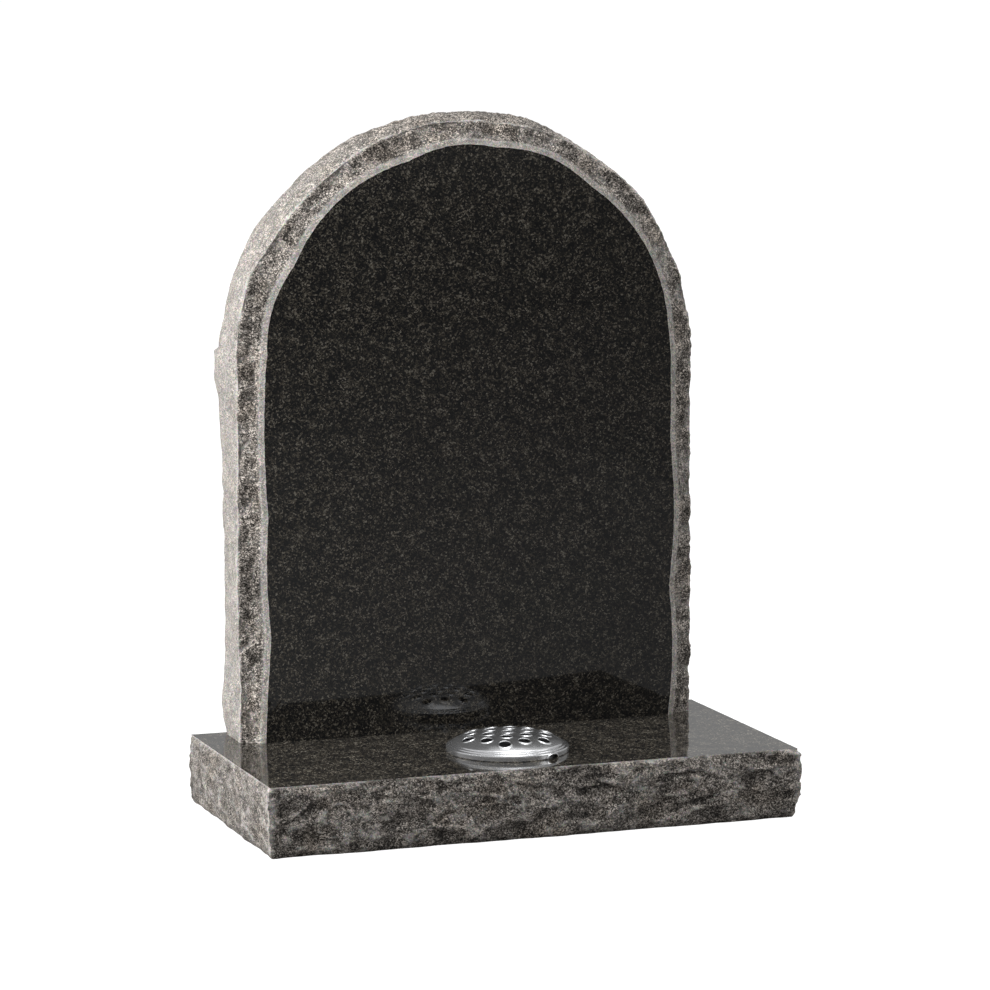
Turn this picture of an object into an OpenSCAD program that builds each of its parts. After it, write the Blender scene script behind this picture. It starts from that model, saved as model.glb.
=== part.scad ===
// Rock-pitched granite headstone on its base, with a lidded flower pot let into the base.
// Millimetres. X runs left to right, Y front to back, Z up.
// Origin: middle of the base's underside, half way between the foremost and rearmost points.

/* [Base] */
// Length of the base's polished top, left to right
base_w = 610; // [560:5:900]
// Depth of the base's polished top, front to back
base_d = 305; // [250:5:450]
// Height of the base
base_h = 78; // [60:1:150]
// Most that the rock-pitched faces stand out past the top's edge
rock_out = 4; // [1:0.5:8]

/* [Headstone] */
// Width across the pitched ridge
stone_w = 541; // [400:1:560]
// Height of the ridge above the base at the top of the arch
stone_h = 686; // [500:1:900]
// Thickness, front to back
stone_t = 78; // [60:1:110]
// How far the headstone is set to the right of the base's middle
stone_shift = 3; // [-10:1:10]

/* [Pitched edge] */
// Usual width of the margin between the polished face and the ridge
margin_w = 28; // [20:1:40]
// Width of the bruised band beside the polished face
band_w = 6; // [3:0.5:10]
// Depth of the bruised band's outer edge behind the polished face
band_drop = 2; // [0.5:0.5:4]
// Depth of the ridge behind the polished face
ridge_drop = 12; // [6:1:20]

/* [Flower pot] */
// Distance from the base's front edge back to the middle of the pot
pot_setback = 102; // [90:1:125]
// Outer radius of the pot's body
pot_r = 55; // [40:1:66]
// Wall and floor of the pot
pot_wall = 1.5; // [1:0.1:3]
// Gap all round between the pot's body and its hole in the base
pot_clear = 2; // [0.5:0.5:4]
// How far the pot's flange laps over the edge of the hole
flange_lap = 7; // [4:0.5:12]
// Thickness of the pot's flange
flange_t = 1.5; // [1:0.1:3]
// Height of the pot's floor above the base's underside
pot_lift = 6; // [2:1:20]

/* [Flower lid] */
// Sheet thickness of the lid
lid_wall = 1.2; // [0.8:0.1:2]
// Gap all round between the pot's flange and the lid's skirt
lid_clear = 2.8; // [0.5:0.1:4]
// Height of the lid's upright skirt
skirt_h = 5.5; // [4:0.5:10]
// Width of the stepped rim, from the skirt in to the dome
rim_w = 8; // [6:0.5:12]
// Height of the dome's edge above the base
dome_edge_h = 12; // [10:0.5:18]
// Height of the dome's middle above the base
lid_h = 20; // [19:0.5:30]
// Radius of each stem hole
stem_r = 6.2; // [4:0.1:7]
// Width of the rolled lip round each stem hole
lip_w = 1.8; // [1:0.1:2]
// How far each rolled lip stands above the dome
lip_h = 1.2; // [0.5:0.1:2]
// Plain ring between the outermost lips and the stepped rim
stem_land = 4; // [2:0.5:8]
// Angle of the rows of stem holes, from straight back towards the right, in degrees
stem_turn = 23.5; // [0:0.5:60]
// Radius of the thumb notch in the skirt
notch_r = 6.5; // [4:0.5:7]
// Lip round the thumb notch
notch_lip = 1.5; // [1:0.1:2]
// Angle of the thumb notch, from straight ahead towards the right, in degrees
notch_turn = 27; // [0:1:90]

/* [Hidden] */
$fn = 96;

// Places shared by the pieces
front_y = -(base_d - rock_out) / 2;
back_y = front_y + base_d;
face_y = back_y - stone_t;
pot_y = front_y + pot_setback;
bore_r = pot_r + pot_clear;
flange_r = bore_r + flange_lap;
lid_r = flange_r + lid_clear + lid_wall;
dome_r = lid_r - rim_w;
stem_rings = 2;
stem_pitch = (dome_r - stem_land - lip_w - stem_r) / stem_rings;
spill = 1;

// Outline of the headstone: upright left side, round arch, upright right side.
// A place along it is a percentage of its whole length, from the left foot to the right foot.
arch_r = stone_w / 2;
spring_h = stone_h - arch_r;
arch_len = PI * arch_r;
outline_len = 2 * spring_h + arch_len;
stone_steps = 100;

// Strokes of the pitching chisel, which leave a scalloped edge on the polished face:
// [where the stroke starts, margin there beyond margin_w, how far the stroke bows outwards]
strokes = [
    [0, -1, 0.5], [7, 6, 3], [15, 3.5, 3.5], [26, 3, 4], [33, 5, 4], [45, 2, 4], [52, -1.5, 4.5],
    [60, -0.5, 3.5], [73, 2, 0.5], [81, 1, 5], [91, 1.5, 4.5], [100, 2, 0]
];
// Wander of the ridge: [place, how far outside the outline]
ridge_wander = [
    [0, -1], [4, -1], [9, 1], [16, 0], [24, -1], [28, 2], [31, 5], [33, 0], [38, -2], [43, 1], [47, 3],
    [52, 0], [56, 4], [60, 2], [63, 6], [67, 3], [72, 1], [78, 0], [90, 2], [100, 1]
];
// The rough side behind the ridge: [place, back edge outside the outline, swell between ridge and back]
side_wander = [
    [0, -2, 1], [2, 3, 2], [5, -2, 1], [12, -2, 2], [19, 0, 1], [24, 5, 2], [28, 2, 1], [33, 6, 3],
    [38, 4, 3], [43, 7, 2], [48, 6, 3], [54, 11, 5], [58, 8, 3], [62, 4, 3], [70, 1, 2], [80, 2, 2],
    [92, -1, 2], [100, 0, 1]
];

function mix(a, b, f) = a + (b - a) * f;
function back_wander(u) = lookup(u, [for (p = side_wander) [p[0], p[1]]]);
function swell(u) = lookup(u, [for (p = side_wander) [p[0], p[2]]]);
function stroke_at(u, i = 0) = i + 2 >= len(strokes) || u < strokes[i + 1][0] ? i : stroke_at(u, i + 1);
function stroke_margin(u, a, b) =
    let (f = (u - a[0]) / (b[0] - a[0])) margin_w + mix(a[1], b[1], f) - a[2] * sin(180 * f);
function margin(u) = let (i = stroke_at(u)) stroke_margin(u, strokes[i], strokes[i + 1]);

// Point of the outline and its outward direction, [x, z, direction x, direction z], at a distance s along it
function outline_at(s) =
    s < spring_h ? [-arch_r, s, -1, 0]
    : s > spring_h + arch_len ? [arch_r, outline_len - s, 1, 0]
    : let (a = (s - spring_h) / arch_r * 180 / PI) [-arch_r * cos(a), spring_h + arch_r * sin(a), -cos(a), sin(a)];

// Profile across the pitched edge at a place u: [distance outside the outline, depth behind the face]
function edge_profile(u) =
    let (m = margin(u), ridge = lookup(u, ridge_wander), back = back_wander(u), puff = swell(u),
         bevel = mix(-m + band_w, ridge, 0.5), hollow = 1.2 * sin(u * 47) + 0.8 * sin(u * 113))
    [
        [-m, 0],
        [-m + band_w, band_drop],
        [bevel, mix(band_drop, ridge_drop, 0.45) + hollow],
        [ridge, ridge_drop + 0.8 * sin(u * 71)],
        [mix(ridge, back, 0.25) + 0.8 * puff, mix(ridge_drop, stone_t, 0.25)],
        [mix(ridge, back, 0.65) + puff, mix(ridge_drop, stone_t, 0.65)],
        [back, stone_t]
    ];
edge_rows = 7;

// Two triangles that join four neighbouring points
function strip(a, b, c, d) = [[a, b, c], [a, c, d]];
// Triangles from a middle point to each edge of a closed loop of points
function fan(middle, loop) = [for (i = [0:len(loop) - 1]) [middle, loop[i], loop[(i + 1) % len(loop)]]];

module headstone() {
    places = [for (i = [0:stone_steps]) i * 100 / stone_steps];
    points = [for (u = places) let (o = outline_at(u / 100 * outline_len)) for (p = edge_profile(u))
        [o[0] + o[2] * p[0], p[1], o[1] + o[3] * p[0]]];
    last = stone_steps * edge_rows;
    face_middle = len(points);
    middles = [[0, 0, spring_h], [0, stone_t, spring_h], [0, stone_t / 2, 0]];
    sides = [for (i = [0:stone_steps - 1], k = [0:edge_rows - 2]) let (a = i * edge_rows + k)
        each strip(a, a + 1, a + edge_rows + 1, a + edge_rows)];
    front = [for (i = [0:stone_steps]) i * edge_rows];
    back = [for (i = [stone_steps:-1:0]) i * edge_rows + edge_rows - 1];
    foot = [each [for (k = [0:edge_rows - 1]) last + k], each [for (k = [edge_rows - 1:-1:0]) k]];
    color([0.13, 0.13, 0.125]) translate([stone_shift, face_y, base_h])
        polyhedron([each points, each middles], [each fan(face_middle, front), each fan(face_middle + 1, back),
            each fan(face_middle + 2, foot), each sides], convexity = 6);
}

// Rock-pitched skin of the base. Rows run from the polished top down to the underside:
// [share of the height, share of rock_out]
rock_rows = [[1, 0], [0.95, 0.5], [0.74, 0.9], [0.5, 1], [0.27, 0.85], [0.07, 0.3], [0, -0.6]];
// Larger scoops broken out of the front: [x from the middle, height, half length, half height, depth],
// as shares of half of base_w, base_h, half of base_w, base_h and rock_out
scoops = [
    [-0.86, 0.35, 0.16, 0.5, 1], [-0.45, 0.3, 0.2, 0.4, 0.7], [-0.05, 0.7, 0.14, 0.25, 0.5],
    [0.2, 0.5, 0.1, 0.35, 1], [0.5, 0.35, 0.18, 0.4, 0.8], [0.83, 0.5, 0.09, 0.45, 1.3]
];
rock_step = 20;

// Evenly spaced places from a to b, without b
function run(a, b) = let (n = ceil(abs(b - a) / rock_step)) [for (i = [0:n - 1]) mix(a, b, i / n)];
// Round the three rock-pitched sides: [x, y, outward direction x, outward direction y]
base_ring = [
    for (y = run(back_y, front_y)) [-base_w / 2, y, -1, 0],
    for (x = run(-base_w / 2, base_w / 2)) [x, front_y, x == -base_w / 2 ? -1 : 0, -1],
    for (y = run(front_y, back_y)) [base_w / 2, y, 1, y == front_y ? -1 : 0],
    [base_w / 2, back_y, 1, 0]
];
function scooped(x, z) = max([for (c = scoops)
    c[4] * max(0, 1 - pow((2 * x / base_w - c[0]) / c[2], 2) - pow((z / base_h - c[1]) / c[3], 2))]);
function ripple(t, z) = 0.16 * sin(t * 1.9 + z * 2.3) + 0.12 * sin(t * 4.7 - z * 3.1) + 0.1 * sin(t * 11 + z * 5);
// How far the rock stands out at a ring point p and row r, never past rock_out
function rock(p, r) =
    let (z = r[0] * base_h, rough = r[1] + ripple(p[0] + p[1], z), dug = p[3] == -1 ? scooped(p[0], z) : 0)
    r[0] == 1 ? 0 : rock_out * min(1, rough - dug);

module rock_block() {
    rows = len(rock_rows);
    ends = len(base_ring) - 1;
    points = [for (p = base_ring, r = rock_rows) let (out = rock(p, r))
        [p[0] + p[2] * out, p[1] + p[3] * out, r[0] * base_h]];
    sides = [for (i = [0:ends - 1], k = [0:rows - 2]) let (a = i * rows + k)
        each strip(a, a + rows, a + rows + 1, a + 1)];
    top = [for (i = [ends:-1:0]) i * rows];
    under = [for (i = [0:ends]) i * rows + rows - 1];
    back = [each [for (k = [0:rows - 1]) k], each [for (k = [rows - 1:-1:0]) ends * rows + k]];
    top_middle = len(points);
    middles = [[0, pot_y, base_h], [0, pot_y, 0], [0, back_y, base_h / 2]];
    polyhedron([each points, each middles], [each fan(top_middle, top), each fan(top_middle + 1, under),
        each fan(top_middle + 2, back), each sides], convexity = 4);
}

module base() {
    color([0.3, 0.29, 0.28]) difference() {
        rock_block();
        translate([0, pot_y, -spill]) cylinder(h = base_h + 2 * spill, r = bore_r);
    }
}

module flower_pot() {
    rim_z = base_h + flange_t;
    inner_r = pot_r - pot_wall;
    color([0.7, 0.71, 0.73]) translate([0, pot_y, 0]) rotate_extrude() polygon([
        [0, pot_lift], [pot_r - 3, pot_lift], [pot_r, pot_lift + 3], [pot_r, base_h], [flange_r, base_h],
        [flange_r, rim_z], [inner_r, rim_z], [inner_r, pot_lift + pot_wall + 2],
        [inner_r - 2, pot_lift + pot_wall], [0, pot_lift + pot_wall]
    ]);
}

// Height of the dome above the base at a radius r: nearly flat, then falling quickly to its edge
dome_power = 4.5;
dome_steps = 12;
function dome_z(r) = lid_h - (lid_h - dome_edge_h) * pow(r / dome_r, dome_power);
// Two beads spun into the rim: [share of the way out across the rim, share of the way down]
rim_beads = [[0.12, 0.2], [0.35, 0.2], [0.45, 0.45], [0.68, 0.5], [0.8, 0.8], [0.95, 0.85], [1, 1]];
lid_top = [
    for (i = [0:dome_steps]) let (r = dome_r * sqrt(i / dome_steps)) [r, dome_z(r)],
    for (b = rim_beads) [dome_r + b[0] * rim_w, mix(dome_edge_h, skirt_h, b[1])]
];
lid_under = [for (i = [len(lid_top) - 1:-1:1]) lid_top[i] - [lid_wall, lid_wall]];

module lid_shell() {
    rotate_extrude() polygon([
        each lid_top, [lid_r, 0], [lid_r - lid_wall, 0], each lid_under, [0, lid_h - lid_wall]
    ]);
}

// Places of the stem holes: a six-sided pattern with stem_rings rings round the middle hole
function stem_place(q, r) = [
    stem_pitch * (q * sin(stem_turn) + r * sin(stem_turn + 60)),
    stem_pitch * (q * cos(stem_turn) + r * cos(stem_turn + 60))
];
stem_places = [for (q = [-stem_rings:stem_rings], r = [-stem_rings:stem_rings])
    if (abs(q + r) <= stem_rings) stem_place(q, r)];

module stem_collar() {
    for (p = stem_places) {
        low = dome_z(norm(p) + stem_r + lip_w) - lid_wall;
        translate([p[0], p[1], low]) cylinder(h = dome_z(norm(p)) + lip_h - low, r = stem_r + lip_w);
    }
}

// Lies along the notch's direction, from the middle of the lid outwards
module notch_rod(r, from, to) {
    rotate([0, 0, notch_turn - 90]) translate([from, 0, 0]) rotate([0, 90, 0]) cylinder(h = to - from, r = r);
}

module flower_lid() {
    color([0.8, 0.81, 0.83]) translate([0, pot_y, base_h]) difference() {
        union() {
            lid_shell();
            stem_collar();
            intersection() {
                notch_rod(notch_r + notch_lip, lid_r - lid_wall, lid_r + lid_wall);
                translate([0, 0, lid_h / 2]) cube([4 * lid_r, 4 * lid_r, lid_h], center = true);
            }
        }
        for (p = stem_places) translate([p[0], p[1], 0]) cylinder(h = 2 * lid_h, r = stem_r);
        notch_rod(notch_r, lid_r - rim_w / 2, lid_r + rim_w);
    }
}

headstone();
base();
flower_pot();
flower_lid();
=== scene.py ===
"""Rock-pitched granite headstone on its base, with a lidded flower pot: the visual model.

Lengths are worked out in millimetres in the part's own frame, with X from left to right, Y from
front to back and Z up. They become metres where a mesh is made.
"""

import logging
import math
from dataclasses import dataclass, field
from enum import IntEnum
from itertools import product
from typing import NamedTuple, Sequence

import bmesh
import bpy
import numpy as np
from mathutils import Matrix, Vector
from mathutils.geometry import delaunay_2d_cdt


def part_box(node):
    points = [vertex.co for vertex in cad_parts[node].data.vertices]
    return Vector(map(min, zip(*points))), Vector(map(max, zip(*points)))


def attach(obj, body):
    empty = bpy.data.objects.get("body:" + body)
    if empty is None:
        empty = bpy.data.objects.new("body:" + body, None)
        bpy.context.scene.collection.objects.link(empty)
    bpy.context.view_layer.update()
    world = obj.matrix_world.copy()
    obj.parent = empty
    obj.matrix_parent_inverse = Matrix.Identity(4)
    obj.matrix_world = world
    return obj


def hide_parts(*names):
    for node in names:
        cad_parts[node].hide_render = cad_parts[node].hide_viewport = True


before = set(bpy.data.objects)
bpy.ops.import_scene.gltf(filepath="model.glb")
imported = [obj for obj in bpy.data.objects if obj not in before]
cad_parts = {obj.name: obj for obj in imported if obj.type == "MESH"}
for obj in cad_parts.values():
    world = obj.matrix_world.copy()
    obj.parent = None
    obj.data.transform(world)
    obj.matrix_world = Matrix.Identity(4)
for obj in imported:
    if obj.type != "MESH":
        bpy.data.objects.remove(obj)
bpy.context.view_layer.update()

LOG = logging.getLogger("headstone")
MM = 0.001
BODY = "root"
Array = np.ndarray
Colour = tuple[float, float, float]
Point = tuple[float, float, float]
Socket = bpy.types.NodeSocket

# Large odd numbers that scatter X, Y, Z and the seed, and two more that mix the bits of their sum
SCATTER = (374761393, 668265263, 2246822519, 3266489917)
MIXERS = (1274126177, 2654435761)


# ---------------------------------------------------------------------------------------------
# Random fields


def lattice_random(x: Array, y: Array, z: Array, seed: int) -> Array:
    """Even random numbers for the whole-number points of a lattice.

    Each coordinate is multiplied by a large odd number, the products are added to the seed's, and
    the sum's high and low bits are mixed twice.

    Args:
        x: Whole numbers along X.
        y: Whole numbers along Y.
        z: Whole numbers along Z.
        seed: Which of the random fields this is.

    Returns:
        Numbers from 0 up to 1.
    """
    mask = 0xFFFFFFFF
    by_x, by_y, by_z, by_seed = SCATTER
    mixed = (x * by_x + y * by_y + z * by_z + seed * by_seed) & mask
    mixed = ((mixed ^ (mixed >> 13)) * MIXERS[0]) & mask
    mixed = ((mixed ^ (mixed >> 15)) * MIXERS[1]) & mask
    return (mixed ^ (mixed >> 16)) / float(mask + 1)


def rolling(points: Array, size: float, seed: int, octaves: int = 1) -> Array:
    """A smooth random field from about -1 to 1.

    Random numbers at the corners of cubes of the given size are blended with the S-curve
    3f^2 - 2f^3 of the place inside the cube. Each further octave is half the size and half as
    strong.

    Args:
        points: Points, one to a row, in millimetres.
        size: Edge of the largest cubes, in millimetres.
        seed: Which random field to take.
        octaves: How many sizes are added up.

    Returns:
        One number for each point.
    """
    total = np.zeros(len(points))
    strength = 0.0
    for octave in range(octaves):
        place = points * (2**octave / size)
        low = np.floor(place).astype(np.int64)
        share = place - low
        share = share * share * (3 - 2 * share)
        level = np.zeros(len(points))
        for corner in product((0, 1), repeat=3):
            weight = np.prod(np.where(corner, share, 1 - share), axis=1)
            x, y, z = (low + corner).T
            level += weight * lattice_random(x, y, z, seed + octave)
        total += (2 * level - 1) / 2**octave
        strength += 1 / 2**octave
    return total / strength


def stirred(points: Array, size: float, amount: float, seed: int) -> Array:
    """Points moved by three smooth random fields, so that crests run unevenly.

    Args:
        points: Points, one to a row, in millimetres.
        size: Size of the fields' largest swells, in millimetres.
        amount: The furthest that a point moves along each axis, in millimetres.
        seed: Which random fields to take.

    Returns:
        The moved points.
    """
    moves = [rolling(points, size, seed + 7 * axis, 2) for axis in range(3)]
    return points + amount * np.stack(moves, axis=1)


def scallops(points: Array, size: float, seed: int) -> tuple[Array, Array]:
    """Chipped stone: shallow bowls that meet in sharp crests.

    The squared distance to every near random centre, plus a random rise of its own for each
    centre, makes a bowl. The lowest bowl wins at each point. Where the two lowest bowls are
    nearly level, there is a crest.

    Args:
        points: Points, one to a row, in millimetres.
        size: Usual distance between the middles of two bowls, in millimetres.
        seed: Which random field to take.

    Returns:
        For each point, its height from about -1 in the bowls to 1 on the crests, and how near it
        is to a crest line: e^(-(second lowest - lowest) / line width).
    """
    own_rise, level, half_range, line_width = 0.45, 0.42, 0.36, 0.07
    place = points / size
    low = np.floor(place).astype(np.int64)
    best = np.full(len(points), np.inf)
    second = np.full(len(points), np.inf)
    for offset in product((-1, 0, 1), repeat=3):
        corner = low + offset
        x, y, z = corner.T
        jitter = np.stack([lattice_random(x, y, z, seed + k) for k in (1, 2, 3)], axis=1)
        gap = corner + jitter - place
        bowl = np.sum(gap * gap, axis=1) + own_rise * lattice_random(x, y, z, seed + 4)
        second = np.minimum(second, np.maximum(best, bowl))
        best = np.minimum(best, bowl)
    height = np.clip((best - level) / half_range, -1.4, 1.6)
    return height, np.exp((best - second) / line_width)


@dataclass(frozen=True)
class Chips:
    """Broken granite: scallops of three sizes, stirred and squeezed, and fine grit over them."""

    sizes: tuple[float, float, float]
    depths: tuple[float, float, float]
    second_line: float
    grit_sizes: tuple[float, float]
    grit_depths: tuple[float, float]
    seed: int
    stir_size: float
    stir_by: float
    stir_seed: int
    squeeze: Point = (1.0, 1.0, 1.0)

    def stir(self, points: Array) -> Array:
        """The points moved about as the scallops are."""
        return stirred(points, self.stir_size, self.stir_by, self.stir_seed)

    def lumps(self, points: Array) -> tuple[Array, Array]:
        """The three sizes of scallops, each times its depth, added up.

        Args:
            points: Stirred points, one to a row, in millimetres.

        Returns:
            The height in millimetres, and how near the point is to a crest line: the large
            scallops' lines, or second_line times the middling scallops', whichever is more.
        """
        heights, lines = zip(*(scallops(points * self.squeeze, size, self.seed + 10 * number)
                               for number, size in enumerate(self.sizes)))
        height = sum(depth * part for depth, part in zip(self.depths, heights))
        return height, np.maximum(lines[0], self.second_line * lines[1])

    def grit(self, points: Array) -> Array:
        """A fine smooth field plus fine scallops, each times its depth, in millimetres."""
        rolls = rolling(points, self.grit_sizes[0], self.seed + 30, 2)
        flakes = scallops(points, self.grit_sizes[1], self.seed + 33)[0]
        return self.grit_depths[0] * rolls + self.grit_depths[1] * flakes


def chance(points: Array, size: float, seed: int, octaves: int, shape: tuple[int, int]) -> Array:
    """A smooth random field from 0 to 1, laid out as rows and columns: half of 1 plus rolling."""
    return (0.5 + 0.5 * rolling(points, size, seed, octaves)).reshape(shape)


def wave(degrees: Array) -> Array:
    """The sine of an angle in degrees."""
    return np.sin(np.radians(degrees))


def bell(gap: Array, width: float) -> Array:
    """The bell e^(-(gap / width)^2): 1 on a line, and little beyond twice the width from it."""
    return np.exp(-(gap / width) ** 2)


def ramp(value: Array, low: float, high: float) -> Array:
    """The S-curve 3f^2 - 2f^3 of how far value has gone from low to high."""
    share = np.clip((value - low) / (high - low), 0, 1)
    return share * share * (3 - 2 * share)


def hold_below(value: Array, limit: float, softness: float = 0.5) -> Array:
    """Value, bent over smoothly so that it never passes limit: limit - s ln(1 + e^((limit - v)/s))."""
    return limit - softness * np.logaddexp(0, (limit - value) / softness)


# ---------------------------------------------------------------------------------------------
# Meshes


def grid_faces(rows: int, columns: int, closed: bool = False) -> Array:
    """Four-sided faces of a grid of points stored row after row.

    Args:
        rows: Number of rows of points.
        columns: Number of points in a row.
        closed: Whether the last column joins the first.

    Returns:
        Four point numbers for each face.
    """
    across = np.arange(columns if closed else columns - 1)
    down = np.arange(rows - 1)[:, None]
    after = (across + 1) % columns
    corners = [down * columns + across, (down + 1) * columns + across,
               (down + 1) * columns + after, down * columns + after]
    return np.stack(corners, axis=-1).reshape(-1, 4)


def grid_normals(points: Array, closed: bool = False) -> Array:
    """Unit normals of a grid of points: the cross product of its two central differences.

    Args:
        points: Points as rows by columns by 3.
        closed: Whether the last column joins the first.

    Returns:
        Unit vectors in the same layout.
    """
    down = np.gradient(points, axis=0)
    if closed:
        across = np.roll(points, -1, axis=1) - np.roll(points, 1, axis=1)
    else:
        across = np.gradient(points, axis=1)
    normal = np.cross(down, across)
    return normal / np.maximum(np.linalg.norm(normal, axis=-1, keepdims=True), 1e-9)


@dataclass
class Shell:
    """Points and faces of one piece, gathered in parts before they become a mesh."""

    points: list[Array] = field(default_factory=list)
    faces: list[Array] = field(default_factory=list)
    slots: list[Array] = field(default_factory=list)
    bruise_and_hollow_shades: list[Array] = field(default_factory=list)
    count: int = 0

    def add_points(self, points: Array, bruise_and_hollow_shade: Array | float = 0.0) -> int:
        """Adds points.

        Args:
            points: Points, one to a row, in millimetres.
            bruise_and_hollow_shade: 1 where the stone is crushed white, 0 where it is fresh, and -1 for
                painted shade at the bottom of a hollow.

        Returns:
            The number of the first of them.
        """
        first = self.count
        self.points.append(points)
        self.bruise_and_hollow_shades.append(np.broadcast_to(np.asarray(bruise_and_hollow_shade, float), (len(points),)))
        self.count += len(points)
        return first

    def add_faces(self, faces: Array, slot: int = 0) -> None:
        """Adds faces, all with three or all with four corners, that take the given finish."""
        self.faces.append(faces)
        self.slots.append(np.full(len(faces), slot))

    def make(self, name: str, finishes: Sequence[bpy.types.Material], sharp_angle: float,
             weld: float = 0.0, level: Sequence[int] = ()) -> bpy.types.Object:
        """Makes the piece, at the origin, unturned and unscaled.

        Args:
            name: Name of the piece.
            finishes: Materials in the order of the faces' finish numbers.
            sharp_angle: Edges that turn by more than this, in degrees, stay crisp.
            weld: Points closer than this, in millimetres, become one.
            level: Finish numbers of the faces that are truly flat, and shaded so.

        Returns:
            The new object.
        """
        mesh = bpy.data.meshes.new(name)
        points = np.concatenate(self.points) * MM
        corners = np.concatenate([f.ravel() for f in self.faces])
        sizes = np.concatenate([np.full(len(f), f.shape[1]) for f in self.faces])
        mesh.vertices.add(len(points))
        mesh.vertices.foreach_set("co", points.ravel().astype(np.float32))
        mesh.loops.add(len(corners))
        mesh.loops.foreach_set("vertex_index", corners.astype(np.int32))
        mesh.polygons.add(len(sizes))
        mesh.polygons.foreach_set("loop_start", (np.cumsum(sizes) - sizes).astype(np.int32))
        mesh.polygons.foreach_set("material_index", np.concatenate(self.slots).astype(np.int32))
        mesh.update(calc_edges=True)
        # One value per point: crushed white stone above zero, painted shade in the hollows below zero
        bruise_and_hollow_shade = mesh.attributes.new("bruise_and_hollow_shade", "FLOAT", "POINT")
        bruise_and_hollow_shade.data.foreach_set("value", np.concatenate(self.bruise_and_hollow_shades).astype(np.float32))
        for finish in finishes:
            mesh.materials.append(finish)
        mesh.validate()
        if weld:
            weld_points(mesh, weld * MM)
        finish_of = np.zeros(len(mesh.polygons), np.int32)
        mesh.polygons.foreach_get("material_index", finish_of)
        mesh.polygons.foreach_set("use_smooth", ~np.isin(finish_of, list(level)))
        mesh.set_sharp_from_angle(angle=math.radians(sharp_angle))
        piece = bpy.data.objects.new(name, mesh)
        bpy.context.scene.collection.objects.link(piece)
        return piece


def weld_points(mesh: bpy.types.Mesh, distance: float) -> None:
    """Merges a mesh's points that lie within a distance of each other, in metres."""
    work = bmesh.new()
    work.from_mesh(mesh)
    bmesh.ops.remove_doubles(work, verts=work.verts, dist=distance)
    work.to_mesh(mesh)
    work.free()


# ---------------------------------------------------------------------------------------------
# Finishes


class Nodes:
    """A node tree, with short calls for the nodes that the finishes and the studio share."""

    def __init__(self, tree: bpy.types.NodeTree) -> None:
        """Takes the tree in hand."""
        self.tree = tree

    def give(self, socket: Socket, value: object) -> None:
        """Links a socket to another node's output, or sets its value."""
        if isinstance(value, Socket):
            self.tree.links.new(value, socket)
        else:
            socket.default_value = value

    def node(self, kind: str, inputs: dict | None = None, **settings: object) -> bpy.types.Node:
        """Adds a node.

        Args:
            kind: Blender's name of the node type, without the word ShaderNode.
            inputs: A value or another node's output for each input, by name or number.
            **settings: The node's own settings.

        Returns:
            The node.
        """
        made = self.tree.nodes.new("ShaderNode" + kind)
        for key, value in settings.items():
            setattr(made, key, value)
        for key, value in (inputs or {}).items():
            self.give(made.inputs[key], value)
        return made

    def math(self, operation: str, a: object, b: object = 0.0) -> Socket:
        """The output of a Math node for two values or outputs."""
        return self.node("Math", {0: a, 1: b}, operation=operation).outputs[0]

    def scaled(self, value: object, low: float, high: float, to_low: float,
               to_high: float) -> Socket:
        """Value moved from the range low..high to the range to_low..to_high, and kept in it."""
        return self.node("MapRange", {0: value, 1: low, 2: high, 3: to_low, 4: to_high}).outputs[0]

    def times(self, vector: Socket, factor: float) -> Socket:
        """A vector or colour times a number."""
        return self.node("VectorMath", {0: vector, 3: factor}, operation="SCALE").outputs[0]

    def blend(self, mode: str, share: object, a: object, b: object) -> Socket:
        """The output of a colour Mix node.

        Args:
            mode: Blender's name of the blend mode.
            share: How much of b is mixed in, from 0 to 1.
            a: First colour, or an output.
            b: Second colour, or an output.

        Returns:
            The mixed colour's output.
        """
        made = self.node("Mix", {0: share}, data_type="RGBA", blend_type=mode)
        for place, value in ((6, a), (7, b)):
            self.give(made.inputs[place], value if isinstance(value, Socket) else (*value, 1.0))
        return made.outputs[2]

    def shades(self, value: Socket, stops: Sequence[tuple[float, Colour]]) -> Socket:
        """A colour ramp.

        Args:
            value: Where on the ramp, from 0 to 1.
            stops: Place and colour of each stop, in order.

        Returns:
            The colour's output.
        """
        made = self.node("ValToRGB", {0: value})
        elements = made.color_ramp.elements
        while len(elements) < len(stops):
            elements.new(0.5)
        for element, (place, colour) in zip(elements, stops):
            element.position = place
            element.color = (*colour, 1.0)
        return made.outputs[0]

    def millimetres(self) -> Socket:
        """Object coordinates in millimetres."""
        return self.times(self.node("TexCoord").outputs["Object"], 1 / MM)

    def clouds(self, place: Socket, size: float, detail: float) -> Socket:
        """Noise from 0 to 1 whose largest clouds measure about size millimetres."""
        return self.node("TexNoise", {"Vector": place, "Scale": 1 / size, "Detail": detail}).outputs[0]

    def crystals(self, place: Socket, size: float) -> bpy.types.Node:
        """Cells about size millimetres across, each with a random colour."""
        return self.node("TexVoronoi", {"Vector": place, "Scale": 1 / size})

    def raise_by(self, height: Socket, depth: float, strength: object,
                 under: Socket | None = None) -> Socket:
        """A bump normal.

        Args:
            height: Height from 0 to 1.
            depth: What 1 stands for, in millimetres.
            strength: How much of it shows, or an output.
            under: A normal that this one is laid over.

        Returns:
            The normal's output.
        """
        inputs = {"Height": height, "Distance": depth * MM, "Strength": strength}
        if under is not None:
            inputs["Normal"] = under
        return self.node("Bump", inputs).outputs[0]


class Shader(Nodes):
    """A new material with one Principled shader."""

    def __init__(self, name: str) -> None:
        """Starts the material under its name."""
        self.material = bpy.data.materials.new(name)
        self.material.use_nodes = True
        super().__init__(self.material.node_tree)
        self.surface = self.tree.nodes["Principled BSDF"]

    def feed(self, **inputs: object) -> None:
        """Links outputs to, or sets values on, the Principled shader's inputs."""
        for key, value in inputs.items():
            self.give(self.surface.inputs[key.replace("_", " ")], value)


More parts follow.
